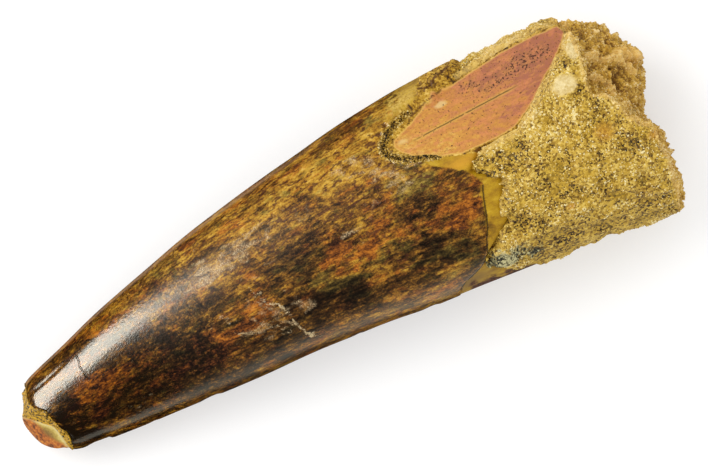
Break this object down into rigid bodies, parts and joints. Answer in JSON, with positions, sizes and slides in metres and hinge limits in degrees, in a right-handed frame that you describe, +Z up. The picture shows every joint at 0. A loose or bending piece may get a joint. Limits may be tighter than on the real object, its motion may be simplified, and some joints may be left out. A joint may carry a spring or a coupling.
{
  "type": "spinosaurus tooth",
  "caption": "Fossil spinosaurus tooth lying on its side, conical with a worn tip, its root still held in a broken piece of sandstone matrix.",
  "frame": {"origin": "centre of the bounding box's underside, on the ground", "axes": "+X runs along the tooth from its worn tip to the broken end of the sandstone, +Y to the more curved edge, +Z up"},
  "size_m": [0.0724, 0.0242, 0.0204],
  "materials": {
    "tooth": "fossil enamel, glossy dark brown and ochre, with bare pink dentine on the break",
    "sandstone": "rough ochre sandstone with pale and dark grains"
  },
  "bodies": {
    "root": {"tooth": "tooth", "sandstone_matrix": "sandstone"}
  },
  "joints": []
}
